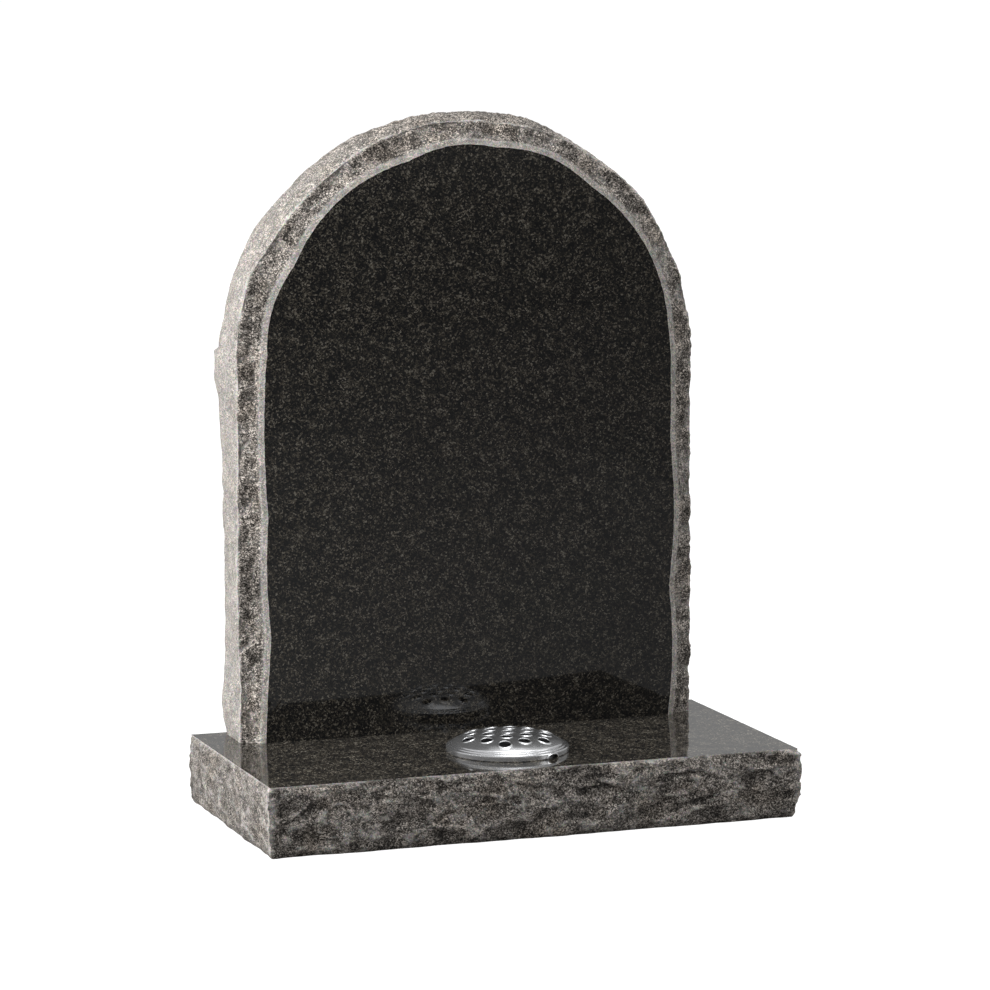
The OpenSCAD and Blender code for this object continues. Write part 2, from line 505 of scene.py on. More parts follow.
class StoneFace(IntEnum):
    """How a face of the granite was worked, numbered as the stones' material slots are."""

    POLISHED = 0
    PITCHED = 1
    SAWN = 2


class Grain(NamedTuple):
    """What the finishes of one granite share."""

    place: Socket  # object coordinates in millimetres
    draw: Socket  # random lightness of the crystals
    chance: Sequence[Socket]  # three random numbers for each coarse crystal
    fine: bpy.types.Node  # the fine crystals


@dataclass(frozen=True)
class Granite:
    """Dark grey granite of black, grey and brownish crystals.

    Sizes are in millimetres. What has one value for each kind of face is in StoneFace's order, a
    roughness runs from a crystal's lowest draw to its highest, and block moves the pattern, so that
    two stones don't share it.
    """

    name: str
    block: Point = (0.0, 0.0, 0.0)
    grain: float = 2.5
    fine_grain: float = 1.25
    grain_shares: tuple[float, float, float] = (0.76, 0.52, 0.7)
    coarse_weight: float = 0.62
    stir_scale: float = 0.45
    stir_by: float = 1.6
    cluster: float = 15.0
    cluster_swing: float = 0.10
    polished_shades: tuple[tuple[float, Colour], ...] = (
        (0.0, (0.0025, 0.0025, 0.0028)), (0.32, (0.0055, 0.0055, 0.0058)),
        (0.50, (0.0115, 0.0105, 0.0090)), (0.70, (0.0265, 0.0225, 0.0170)),
        (0.86, (0.055, 0.047, 0.036)), (1.0, (0.125, 0.112, 0.092)),
    )
    pitched_shades: tuple[tuple[float, Colour], ...] = (
        (0.0, (0.010, 0.009, 0.008)), (0.30, (0.052, 0.047, 0.042)),
        (0.58, (0.155, 0.137, 0.120)), (0.82, (0.40, 0.358, 0.318)), (1.0, (0.74, 0.685, 0.63)),
    )
    crushed: Colour = (0.70, 0.668, 0.63)
    cool_tint: Colour = (0.80, 0.92, 1.05)
    rust_tint: Colour = (1.0, 0.91, 0.80)
    rust_size: float = 38.0
    crushed_patch: float = 4.0
    polish_swell: float = 90.0
    # Gain on the polished colour: above 1 it is painted light, a lighter copy for a top lit from above
    polish_painted_light_gain: float = 1.0
    # Gain on the pitched colour: painted light above 1 and painted shade below 1, for lit and shaded
    # copies of the granite
    pitch_painted_light_gain: float = 1.0
    polished_roughness: tuple[float, float] = (0.015, 0.045)
    pitched_roughness: tuple[float, float] = (0.95, 0.45)
    sawn_roughness: tuple[float, float] = (0.55, 0.75)
    polished_ior: float = 1.52
    saw_stretch: Point = (0.004, 0.05, 0.9)
    sawn_shades: tuple[tuple[float, Colour], ...] = (
        (0.0, (0.075, 0.075, 0.076)), (0.5, (0.13, 0.128, 0.125)), (1.0, (0.27, 0.262, 0.25)),
    )

    def make(self, face: StoneFace) -> bpy.types.Material:
        """Makes the material of one kind of face.

        Args:
            face: How the face was worked.

        Returns:
            The material.
        """
        shader = Shader(f"{self.name}_{face.name.lower()}")
        place = shader.node("VectorMath", {0: shader.millimetres(), 1: self.block}).outputs[0]
        stir = shader.node("TexNoise", {"Vector": place, "Scale": self.stir_scale,
                                        "Detail": 1.0}).outputs[1]
        stirred = shader.node("VectorMath", {0: stir, 1: (self.stir_by,) * 3, 2: place},
                              operation="MULTIPLY_ADD").outputs[0]
        size = self.grain_shares[face]
        coarse = shader.crystals(stirred, self.grain * size)
        fine = shader.crystals(stirred, self.fine_grain * size)
        coarse_draw, fine_draw = (
            shader.node("SeparateColor", {0: cells.outputs["Color"]}).outputs
            for cells in (coarse, fine))
        draw = shader.math("ADD", shader.math("MULTIPLY", coarse_draw[0], self.coarse_weight),
                           shader.math("MULTIPLY", fine_draw[0], 1 - self.coarse_weight))
        drift = shader.scaled(shader.clouds(place, self.cluster, 3.0), 0.32, 0.68,
                              -self.cluster_swing, self.cluster_swing)
        draw = shader.math("ADD", draw, drift)
        finish = (self.polish, self.pitch, self.saw)[face]
        finish(shader, Grain(place, draw, coarse_draw, fine))
        return shader.material

    def polish(self, shader: Shader, grain: Grain) -> None:
        """Polished face: dark crystals under a mirror gloss that varies from grain to grain.

        Args:
            shader: The material being made.
            grain: The crystals.
        """
        colour = shader.shades(shader.scaled(grain.draw, 0.12, 0.92, 0.0, 1.0), self.polished_shades)
        # Painted light where the gain is above 1: the polished colour is lightened to look more lit
        colour = shader.times(colour, self.polish_painted_light_gain)
        cool = shader.scaled(grain.chance[1], 0.0, 1.0, 0.0, 0.35)
        colour = shader.blend("MULTIPLY", cool, colour, self.cool_tint)
        waves = shader.raise_by(shader.clouds(grain.place, self.polish_swell, 1.0), 0.4, 0.12)
        roughness = shader.scaled(grain.chance[2], 0.0, 1.0, *self.polished_roughness)
        shader.feed(Base_Color=colour, Roughness=roughness, IOR=self.polished_ior,
                    Normal=shader.raise_by(grain.draw, 0.02, 0.25, waves))

    def pitch(self, shader: Shader, grain: Grain) -> None:
        """Broken face: lighter, sugary, with crushed white stone where the chisel struck and painted
        shade darkening the hollows.

        Args:
            shader: The material being made.
            grain: The crystals.
        """
        colour = shader.shades(shader.scaled(grain.draw, 0.18, 0.86, 0.0, 1.0), self.pitched_shades)
        # Painted light or shade by the stone's gain: lighter on the headstone, darker on the base
        colour = shader.times(colour, self.pitch_painted_light_gain)
        rust = shader.scaled(shader.clouds(grain.place, self.rust_size, 4.0), 0.45, 0.75, 0.0, 0.55)
        colour = shader.blend("MULTIPLY", rust, colour, self.rust_tint)
        bruise_and_hollow_shade = shader.node("Attribute", attribute_name="bruise_and_hollow_shade").outputs["Fac"]
        # Painted shade: below zero the colour is darkened, down to 0.30 at the bottom of a hollow
        hollow = shader.scaled(bruise_and_hollow_shade, -1.0, 0.0, 0.30, 1.0)
        colour = shader.blend("MULTIPLY", 1.0, colour, hollow)
        patchy = shader.scaled(shader.clouds(grain.place, self.crushed_patch, 3.0),
                               0.35, 0.65, 0.55, 1.0)
        tones = shader.node(
            "MapRange", {"Vector": grain.fine.outputs["Color"], 7: (0.0,) * 3, 8: (1.0,) * 3,
                         9: (0.45,) * 3, 10: (1.1,) * 3}, data_type="FLOAT_VECTOR").outputs[1]
        crushed = shader.blend("MULTIPLY", 0.9, self.crushed, tones)
        struck = shader.math("MULTIPLY", shader.math("MAXIMUM", bruise_and_hollow_shade, 0.0), patchy)
        colour = shader.blend("MIX", struck, colour, crushed)
        calm = shader.scaled(bruise_and_hollow_shade, 0.0, 0.6, 1.0, 0.35)
        broad = shader.raise_by(shader.clouds(grain.place, 2.2, 3.0), 0.8,
                                shader.math("MULTIPLY", calm, 0.6))
        facets = shader.raise_by(grain.fine.outputs["Distance"], 0.5,
                                 shader.math("MULTIPLY", calm, 0.5), broad)
        sugar = shader.raise_by(grain.draw, 0.55, shader.math("MULTIPLY", calm, 0.8), facets)
        roughness = shader.scaled(grain.chance[2], 0.0, 1.0, *self.pitched_roughness)
        shader.feed(Base_Color=colour, Roughness=roughness, Normal=sugar, Specular_IOR_Level=0.35)

    def saw(self, shader: Shader, grain: Grain) -> None:
        """Sawn face: dull mid grey with faint straight saw lines.

        Args:
            shader: The material being made.
            grain: The crystals.
        """
        streaks = shader.node("Mapping", {"Vector": grain.place,
                                          "Scale": self.saw_stretch}).outputs[0]
        lines = shader.node("TexNoise", {"Vector": streaks, "Scale": 1.0, "Detail": 3.0}).outputs[0]
        colour = shader.shades(shader.scaled(grain.draw, 0.12, 0.88, 0.0, 1.0), self.sawn_shades)
        colour = shader.blend("MULTIPLY", 0.35, colour, shader.shades(
            lines, ((0.35, (0.55, 0.55, 0.55)), (0.65, (1.0, 1.0, 1.0)))))
        roughness = shader.scaled(grain.chance[2], 0.0, 1.0, *self.sawn_roughness)
        shader.feed(Base_Color=colour, Roughness=roughness, Specular_IOR_Level=0.4,
                    Normal=shader.raise_by(lines, 0.35, 0.4))


@dataclass(frozen=True)
class SpunAluminium:
    """Aluminium spun on a lathe: mostly bare and bright, with the rest of it under a dull film."""

    name: str
    colour: Colour = (0.83, 0.84, 0.86)
    smear_colour: Colour = (0.70, 0.70, 0.70)
    low_gloss: float = 0.26
    high_gloss: float = 0.15
    ring: float = 0.9
    bare: float = 0.93

    def make(self, axis_y: float) -> bpy.types.Material:
        """Makes the material of a piece spun round an upright axis at X = 0.

        Args:
            axis_y: Where the axis stands along Y, in millimetres.

        Returns:
            The material.
        """
        shader = Shader(self.name)
        place = shader.millimetres()
        from_axis = shader.node("VectorMath", {0: place, 1: (0.0, axis_y, 0.0)},
                                operation="SUBTRACT").outputs[0]
        flat = shader.node("VectorMath", {0: from_axis, 1: (1.0, 1.0, 0.0)},
                           operation="MULTIPLY").outputs[0]
        radius = shader.node("VectorMath", {0: flat}, operation="LENGTH").outputs["Value"]
        turning = shader.node("TexNoise", {"W": radius, "Scale": 1 / self.ring, "Detail": 3.0},
                              noise_dimensions="1D").outputs[0]
        smears = shader.clouds(place, 22.0, 4.0)
        gloss = shader.math("ADD", shader.scaled(smears, 0.35, 0.65, self.high_gloss, self.low_gloss),
                            shader.scaled(turning, 0.3, 0.7, -0.02, 0.03))
        colour = shader.blend("MIX", shader.scaled(smears, 0.4, 0.7, 0.0, 0.25), self.colour,
                              self.smear_colour)
        shader.feed(Base_Color=colour, Metallic=self.bare, Roughness=gloss,
                    Normal=shader.raise_by(turning, 0.05, 0.25))
        return shader.material


# ---------------------------------------------------------------------------------------------
# Pieces


@dataclass
class Headstone:
    """Arch-topped slab with a polished face, a rock-pitched margin and rough sides."""

    width: float = 541.0
    height: float = 686.0
    shift: float = 3.0
    margin_width: float = 28.0
    band_width: float = 6.0
    band_drop: float = 2.0
    ridge_drop: float = 12.0
    stations: int = 900
    band_steps: int = 5
    bevel_steps: int = 15
    side_steps: int = 36
    # Rows across the edge are counted in control points, from 0 at the face
    band_row: float = 1.0
    ridge_row: float = 3.0
    back_row: float = 6.0
    chips: Chips = Chips(
        sizes=(27, 12.5, 6), depths=(2.1, 1.6, 0.8), second_line=0.75, grit_sizes=(3.4, 2.9),
        grit_depths=(0.36, 0.22), seed=11, stir_size=15, stir_by=5.0, stir_seed=15)
    sharp_angle: float = 48.0
    # The pitched gain of 1.22 paints the headstone's rock faces lighter than the base's: painted light
    granite: Granite = Granite("headstone_granite", pitch_painted_light_gain=1.22)
    # [percent along the outline, margin beyond margin_width, how far the stroke bows outwards]
    strokes: tuple[tuple[float, float, float], ...] = (
        (0, -1, 0.5), (7, 6, 3), (15, 3.5, 3.5), (26, 3, 4), (33, 5, 4), (45, 2, 4),
        (52, -1.5, 4.5), (60, -0.5, 3.5), (73, 2, 0.5), (81, 1, 5), (91, 1.5, 4.5), (100, 2, 0),
    )
    # [percent along the outline, how far the ridge stands outside it]
    ridge_wander: tuple[tuple[float, float], ...] = (
        (0, -1), (4, -1), (9, 1), (16, 0), (24, -1), (28, 2), (31, 5), (33, 0), (38, -2), (43, 1),
        (47, 3), (52, 0), (56, 4), (60, 2), (63, 6), (67, 3), (72, 1), (78, 0), (90, 2), (100, 1),
    )
    # [percent along the outline, back edge outside it, swell between ridge and back]
    side_wander: tuple[tuple[float, float, float], ...] = (
        (0, -2, 1), (2, 3, 2), (5, -2, 1), (12, -2, 2), (19, 0, 1), (22.6, 3, 2),
        (24, 8, 3), (25.8, 9, 3), (26.0, 4, 2), (28, 2, 1),
        (33, 6, 3), (38, 4, 3), (43, 7, 2), (48, 6, 3), (54, 11, 5), (58, 8, 3), (62, 4, 3),
        (70, 1, 2), (80, 2, 2), (92, -1, 2), (100, 0, 1),
    )

    def __post_init__(self) -> None:
        """Takes the slab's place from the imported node's box."""
        low, high = (np.array(corner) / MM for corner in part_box("headstone"))
        self.face_y, self.back_y, self.foot_z, self.top_z = low[1], high[1], low[2], high[2]
        self.depth = self.back_y - self.face_y
        self.spring_z = self.foot_z + self.height - self.width / 2

    def outline(self, share: Array) -> tuple[Array, Array]:
        """Upright left side, round arch and upright right side.

        Args:
            share: Share of the way along the outline, from the left foot to the right foot.

        Returns:
            Points and outward directions, each as X and Z from the middle of the slab's foot.
        """
        radius = self.width / 2
        spring = self.height - radius
        length = 2 * spring + math.pi * radius
        run = share * length
        angle = np.clip((run - spring) / radius, 0, math.pi)
        up = np.minimum(np.minimum(run, length - run), spring)
        outward = np.stack([-np.cos(angle), np.sin(angle)], axis=1)
        points = np.stack([radius * outward[:, 0], up + radius * outward[:, 1]], axis=1)
        return points, outward

    def margin(self, percent: Array) -> Array:
        """Width of the margin: even between two strokes' ends, less a half sine wave of the bow."""
        start, beyond, bow = np.array(self.strokes).T
        stroke = np.clip(np.searchsorted(start, percent, side="right") - 1, 0, len(start) - 2)
        share = (percent - start[stroke]) / (start[stroke + 1] - start[stroke])
        even = beyond[stroke] + (beyond[stroke + 1] - beyond[stroke]) * share
        return self.margin_width + even - bow[stroke] * np.sin(math.pi * share)

    def profile(self, percent: Array) -> Array:
        """Control points across the pitched edge.

        They are the polished face's edge, the band's outer edge, the bevel's middle, the ridge,
        two places on the rough side, and the back edge. Waves of the sine of percent move them.

        Args:
            percent: Places along the outline.

        Returns:
            For each place, seven pairs of distance outside the outline and depth behind the face.
        """
        edge = -self.margin(percent)
        ridge = np.interp(percent, *np.array(self.ridge_wander).T)
        places, back_out, puff_out = np.array(self.side_wander).T
        back = np.interp(percent, places, back_out)
        puff = np.interp(percent, places, puff_out)
        hollow = 1.2 * wave(percent * 47) + 0.8 * wave(percent * 113)
        band = edge + self.band_width
        behind = self.depth - self.ridge_drop
        out = [edge, band, (band + ridge) / 2, ridge, ridge + 0.25 * (back - ridge) + 0.8 * puff,
               ridge + 0.65 * (back - ridge) + puff, back]
        middle = self.band_drop + 0.72 * (self.ridge_drop - self.band_drop) + hollow
        deep = [0 * edge, 0 * edge + self.band_drop, middle, self.ridge_drop + 0.8 * wave(percent * 71),
                0 * edge + self.ridge_drop + 0.25 * behind,
                0 * edge + self.ridge_drop + 0.65 * behind, 0 * edge + self.depth]
        return np.stack([np.stack(out, axis=1), np.stack(deep, axis=1)], axis=2)

    def rows(self) -> Array:
        """Rows across the edge: over the band, the bevel and the side, up to the back edge."""
        return np.concatenate([
            np.linspace(0, self.band_row, self.band_steps, endpoint=False),
            np.linspace(self.band_row, self.ridge_row, self.bevel_steps, endpoint=False),
            np.linspace(self.ridge_row, self.back_row, self.side_steps + 1),
        ])

    def relief(self, skin: Array, rows: Array) -> tuple[Array, Array]:
        """How far the broken stone stands out of its even skin, in millimetres, and its crests.

        The bevel has deep scallops of three sizes, and the side behind the ridge a low, granular
        roll. Both fade out on the bruised band and at the back edge.

        Args:
            skin: Points of the even skin as rows by stations by 3.
            rows: Rows across the edge.

        Returns:
            The height, and how near the point is to a crest line, for each point.
        """
        flat = skin.reshape(-1, 3)
        shape = skin.shape[:2]
        at = rows[:, None]
        moved = self.chips.stir(flat)
        lumps, lines = (part.reshape(shape) for part in self.chips.lumps(moved))
        grit = self.chips.grit(flat).reshape(shape)
        up = self.upness(flat[:, 2]).reshape(shape)
        roll = (1.3 * rolling(flat, 44, 51, 2) + 0.7 * scallops(flat, 19, 61)[0]).reshape(shape)
        roll += (0.3 + 0.6 * up) * scallops(moved, 8, 71)[0].reshape(shape) - 0.5 * up
        on_bevel = ramp(at, 0.95, 1.5) * (1 - ramp(at, 2.7, 3.05))
        on_side = ramp(at, 2.95, 3.4) * (1 - ramp(at, 5.6, self.back_row))
        on_ridge = bell(at - self.ridge_row, 0.25)
        anywhere = ramp(at, 0.0, 1.2) * (1 - ramp(at, 5.75, self.back_row))
        rough = 0.25 + 0.75 * (on_bevel + (0.45 + 0.8 * up) * on_side + on_ridge)
        height = (on_bevel * (lumps - 0.8) + on_side * (roll - 0.5) + anywhere * rough * grit
                  + on_ridge * (0.5 * lumps - 0.4))
        return height, lines * on_bevel

    def upness(self, height: Array) -> Array:
        """Share of the way up the arch, from 0 at its spring to 1 at its top."""
        return np.clip((height - self.spring_z) / (self.width / 2), 0, 1)

    def bruise_and_hollow_shade(self, flat: Array, rows: Array, relief: Array, lines: Array) -> Array:
        """How far the stone is crushed to white on the band, along the arrises and on high crests, and
        how far painted shade darkens its hollows.

        Args:
            flat: Points of the skin, one to a row.
            rows: Rows across the edge.
            relief: How far each point stands out, as rows by stations.
            lines: How near each point is to a crest line, as rows by stations.

        Returns:
            One number for each point, as rows by stations: 1 crushed white, 0 fresh, -1 for
            painted shade at the bottom of a hollow.
        """
        at = rows[:, None] + 0 * relief
        near = chance(flat, 9, 81, 3, relief.shape)
        far = chance(flat, 30, 85, 2, relief.shape)
        band = (1 - ramp(at, 0.85, 1.15)) * (0.28 + 0.55 * near)
        arrises = 0.6 * bell(at, 0.12) + 0.45 * bell(at - self.band_row, 0.14)
        ridge = bell(at - self.ridge_row, 0.14) * (0.45 + 0.55 * ramp(far, 0.3, 0.6))
        up = self.upness(flat[:, 2]).reshape(relief.shape)
        side = ramp(at, self.ridge_row, 3.15) * (0.42 + 0.24 * far) * (1 - 0.95 * up * up)
        crests = ramp(relief, 1.2, 4.0) * 0.25 + 0.55 * lines * ramp(near, 0.25, 0.7)
        back = bell(self.back_row - at, 0.06) * ramp(near, 0.3, 0.7) * 0.6
        # Painted shade: the bevel's low places are darkened, most towards the ridge
        dug = ramp(0.8 * ramp(at, 1.6, 2.4) - relief, 0.0, 3.6) * (
            ramp(at, self.band_row, 1.4) * (1 - ramp(at, 2.75, self.ridge_row)))
        return np.clip(band + arrises + ridge + side + crests + back - 0.68 * dug, -1, 1)

    def build(self) -> bpy.types.Object:
        """Builds the slab.

        The skin runs along the outline in stations and across the edge in rows. Each point moves
        along the skin's normal by the relief. The face, the back and the foot are closed with
        triangles from a middle point.

        Returns:
            The piece.
        """
        share = np.linspace(0, 1, self.stations)
        percent = 100 * share
        outline, outward = self.outline(share)
        controls = self.profile(percent)
        line = np.stack([outline[:, 0], 0 * share, outline[:, 1]], axis=1)
        edge_noise = rolling(line, 5.5, 5, 3)
        rows = self.rows()
        left = np.minimum(np.floor(rows).astype(int), controls.shape[1] - 2)
        share_on = (rows - left)[:, None, None]
        across = (np.moveaxis(controls[:, left], 0, 1) * (1 - share_on)
                  + np.moveaxis(controls[:, left + 1], 0, 1) * share_on)
        wobble = (1 - ramp(rows, 0.9, 1.6))[:, None]
        across[..., 0] -= ramp(rows, 5.2, self.back_row)[:, None] * (
            1.2 + 1.5 * rolling(line, 16, 7, 3))
        across[..., 0] += wobble * 0.55 * edge_noise + 0.35 * (
            bell(rows[:, None] - self.band_row, 0.4) * np.roll(edge_noise, 37))
        plane = outline[None] + outward[None] * across[..., :1]
        skin = np.stack([plane[..., 0] + self.shift, self.face_y + across[..., 1],
                         self.foot_z + plane[..., 1]], axis=2)
        relief, lines = self.relief(skin, rows)
        points = skin + grid_normals(skin) * relief[..., None]
        foot = np.array([0, -1])
        points[:, foot] = skin[:, foot] + (points[:, foot] - skin[:, foot]) * (1, 1, 0)
        points[:, foot, 2] = self.foot_z
        points[..., 1] = np.clip(points[..., 1], self.face_y, self.back_y)
        points[..., 2] = np.clip(points[..., 2], self.foot_z, self.top_z)
        points[0, :, 1] = self.face_y
        points[-1, :, 1] = self.back_y
        bruise_and_hollow_shade = self.bruise_and_hollow_shade(skin.reshape(-1, 3), rows, relief, lines)

        shell = Shell()
        shell.add_points(points.reshape(-1, 3), bruise_and_hollow_shade.ravel())
        shell.add_faces(grid_faces(len(rows), self.stations)[:, ::-1], StoneFace.PITCHED)
        self.close(shell, len(rows))
        finishes = [self.granite.make(face) for face in StoneFace]
        return shell.make("headstone_stone", finishes, self.sharp_angle,
                          level=(StoneFace.POLISHED, StoneFace.SAWN))

    def close(self, shell: Shell, rows: int) -> None:
        """Closes the face, the back and the foot with fans of triangles.

        Args:
            shell: The shell that holds the skin.
            rows: Number of rows in the skin.
        """
        number = np.arange(self.stations)
        last_row = (rows - 1) * self.stations
        row = np.arange(rows) * self.stations
        foot_loop = np.concatenate([row + self.stations - 1, row[::-1]])
        middle_y = (self.face_y + self.back_y) / 2
        back_loop = last_row + number[::-1]
        for loop, y, z, slot in ((number, self.face_y, self.spring_z, StoneFace.POLISHED),
                                 (back_loop, self.back_y, self.spring_z, StoneFace.SAWN),
                                 (foot_loop, middle_y, self.foot_z, StoneFace.SAWN)):
            middle = shell.add_points(np.array([[self.shift, y, z]]))
            after = np.roll(loop, -1)
            fan = np.stack([np.full(len(loop), middle), after, loop], axis=1)
            shell.add_faces(fan, slot)

    def dress(self, piece: bpy.types.Object) -> None:
        """Ties the piece to the frame and hides the imported node."""
        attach(piece, BODY)
        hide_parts("headstone")


@dataclass
class Ledge:
    """A step broken into the rock along a line: proud above it, hollow below it."""

    x0: float
    z0: float
    x1: float
    z1: float
    hollow: float
    rise: float
    below: float = 9.0
    bow: float = 0.0
    reach: float = 5.0
    fade: float = 0.12

    def at(self, x: Array, z: Array, stray: Array) -> Array:
        """How far the step moves the rock out.

        With d the height above the line, the rock stands out by rise e^(-d/reach) above it and
        goes in by hollow e^(d/below) under it. Both fade at the line's two ends.

        Args:
            x: Places along the base's front.
            z: Heights.
            stray: How far the line strays upwards at each place.

        Returns:
            Millimetres outwards for each place.
        """
        share = (x - self.x0) / (self.x1 - self.x0)
        line = self.z0 + (self.z1 - self.z0) * share + self.bow * np.sin(
            math.pi * np.clip(share, 0, 1))
        above = z - line - stray
        strength = ramp(share, -self.fade, self.fade) * (
            1 - ramp(share, 1 - self.fade, 1 + self.fade))
        proud = self.rise * np.exp(-np.maximum(above, 0) / self.reach)
        dug = -self.hollow * np.exp(np.minimum(above, 0) / self.below)
        return strength * (dug + (proud - dug) * ramp(above, -0.8, 0.8))


class Side(IntEnum):
    """A side of the base."""

    LEFT = 0
    FRONT = 1
    RIGHT = 2
    BACK = 3


@dataclass
class Base:
    """Slab with a polished top, rock-pitched front and ends, a sawn back and the pot's hole."""

    rock_out: float = 4.0
    hole_r: float = 57.0
    front_step: float = 1.6
    end_step: float = 1.8
    back_step: float = 6.0
    rows: int = 50
    corner: float = 10.0
    back_arris: float = 0.8
    row_spread: float = 1.12
    nibble: float = 0.5
    sharp_angle: float = 48.0
    chips: Chips = Chips(
        sizes=(24, 11, 5), depths=(1.6, 1.2, 0.45), second_line=0.8, grit_sizes=(3.6, 3),
        grit_depths=(0.34, 0.2), seed=111, stir_size=17, stir_by=7.0, stir_seed=105,
        squeeze=(0.5, 0.5, 1.1))
    # The polished gain of 2.1 paints the overhead light on the base's top. The pitched gain of 0.88
    # paints its rock faces darker, as shade
    granite: Granite = Granite("base_granite", (137.0, 59.0, 211.0), polish_painted_light_gain=2.1, pitch_painted_light_gain=0.88)
    # [share of the height, share of rock_out]
    rock_rows: tuple[tuple[float, float], ...] = (
        (0, -0.6), (0.07, 0.3), (0.27, 0.85), (0.5, 1), (0.74, 0.9), (0.95, 0.5), (1, 0),
    )
    # [X, height, half length, half height, depth], as shares of half the width, of the height,
    # of half the width, of the height and of rock_out
    scoops: tuple[tuple[float, float, float, float, float], ...] = (
        (-0.86, 0.35, 0.16, 0.5, 1), (-0.45, 0.3, 0.2, 0.4, 0.7), (-0.05, 0.7, 0.14, 0.25, 0.5),
        (0.2, 0.5, 0.1, 0.35, 1), (0.5, 0.35, 0.18, 0.4, 0.8), (0.83, 0.5, 0.09, 0.45, 1.3),
    )
    ledges: tuple[Ledge, ...] = (
        Ledge(-302, 30, -236, 71, 1.6, 1.3), Ledge(-318, 49, -261, 74, 0.8, 1.2),
        Ledge(-190, 60, -120, 52, 1.2, 0.9, bow=4), Ledge(-112, 33, -60, 48, 1.3, 0.8),
        Ledge(-30, 66, 28, 60, 1.1, 0.9, bow=-3), Ledge(47, 53, 95, 50, 2.6, 1.3, bow=3),
        Ledge(135, 58, 202, 55, 1.8, 1.3, bow=6), Ledge(150, 26, 214, 34, 1.2, 0.8),
        Ledge(243, 50, 284, 46, 2.4, 1.2, 14.0, bow=9), Ledge(-170, 20, -96, 17, 1.1, 0.7, bow=3),
    )

    def __post_init__(self) -> None:
        """Takes the slab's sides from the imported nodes' boxes."""
        low, high = (np.array(corner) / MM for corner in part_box("base"))
        pot_low, pot_high = (np.array(corner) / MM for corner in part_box("flower_pot"))
        self.side_x = high[0] - self.rock_out
        self.front_y = low[1] + self.rock_out
        self.back_y, self.height = high[1], high[2]
        self.pot_y = (pot_low[1] + pot_high[1]) / 2

    def ring(self) -> tuple[Array, Array, Array]:
        """The polished top's outline, anticlockwise from the back left corner.

        Near a front corner the way outwards turns through both faces' directions, so that the two
        rock faces meet on the corner.

        Returns:
            Points as X and Y, the way outwards as X and Y, and the number of each point's side.
        """
        def run(start: float, end: float, step: float) -> Array:
            """Even places from start to just before end."""
            return np.linspace(start, end, int(abs(end - start) / step), endpoint=False)

        def near(gap: Array) -> Array:
            """The square of 1 less the share of the corner's reach, and 0 beyond that."""
            return np.clip(1 - np.abs(gap) / self.corner, 0, 1) ** 2

        ends = run(self.back_y, self.front_y, self.end_step)
        front = run(-self.side_x, self.side_x, self.front_step)
        back = run(self.side_x, -self.side_x, self.back_step)
        other = run(self.front_y, self.back_y, self.end_step)
        one = np.ones(len(ends))
        points = np.concatenate([
            np.stack([-self.side_x * one, ends], axis=1),
            np.stack([front, np.full(len(front), self.front_y)], axis=1),
            np.stack([self.side_x * one, other], axis=1),
            np.stack([back, np.full(len(back), self.back_y)], axis=1),
        ])
        outward = np.concatenate([
            np.stack([-one, -near(ends - self.front_y)], axis=1),
            np.stack([near(front - self.side_x) - near(front + self.side_x),
                      -np.ones(len(front))], axis=1),
            np.stack([one, -near(other - self.front_y)], axis=1),
            np.zeros((len(back), 2)),
        ])
        side = np.repeat(list(Side), [len(ends), len(front), len(ends), len(back)])
        return points, outward, side

    def rock(self, x: Array, y: Array, z: Array, on_front: Array) -> tuple[Array, Array, Array]:
        """How far the rock stands out of the top's outline.

        A rounded profile over the height, three sine waves, the scoops and the ledges give the
        broad shape, and scallops of three sizes and fine grit break it up. It bends over before
        it passes rock_out, and comes to nothing at the top arris.

        Args:
            x: Places along X.
            y: Places along Y.
            z: Heights.
            on_front: 1 on the front face and 0 on the ends.

        Returns:
            Millimetres outwards, the relief alone, and how near the place is to a crest line.
        """
        share = z / self.height
        place, out = np.array(self.rock_rows).T
        run = x + y
        ripples = (0.16 * wave(run * 1.9 + z * 2.3) + 0.12 * wave(run * 4.7 - z * 3.1)
                   + 0.1 * wave(run * 11 + z * 5))
        dug = np.zeros_like(x)
        for cx, cz, half_x, half_z, depth in self.scoops:
            inside = 1 - ((x / self.side_x - cx) / half_x) ** 2 - ((share - cz) / half_z) ** 2
            dug = np.maximum(dug, depth * np.maximum(inside, 0))
        flat = np.stack([x, y, z * 1.15], axis=-1).reshape(-1, 3)
        stray = (4.0 * rolling(flat, 21, 171, 3) + 1.2 * rolling(flat, 5, 175)).reshape(x.shape)
        steps = sum(ledge.at(x, z, stray) for ledge in self.ledges)
        lumps, lines = (part.reshape(x.shape)
                        for part in self.chips.lumps(self.chips.stir(flat)))
        grit = self.chips.grit(flat).reshape(x.shape)
        broad = self.rock_out * (np.interp(share, place, out) + ripples - dug * on_front) - 1.4
        rough = lumps * (0.75 + 0.25 * on_front) + 1.25 * steps * on_front + grit
        rough = rough * (0.3 + 0.7 * ramp(share, 0.0, 0.14))
        whole = hold_below(broad + rough, self.rock_out - 0.05)
        return whole * ramp(1 - share, 0.0, 0.06), rough, lines

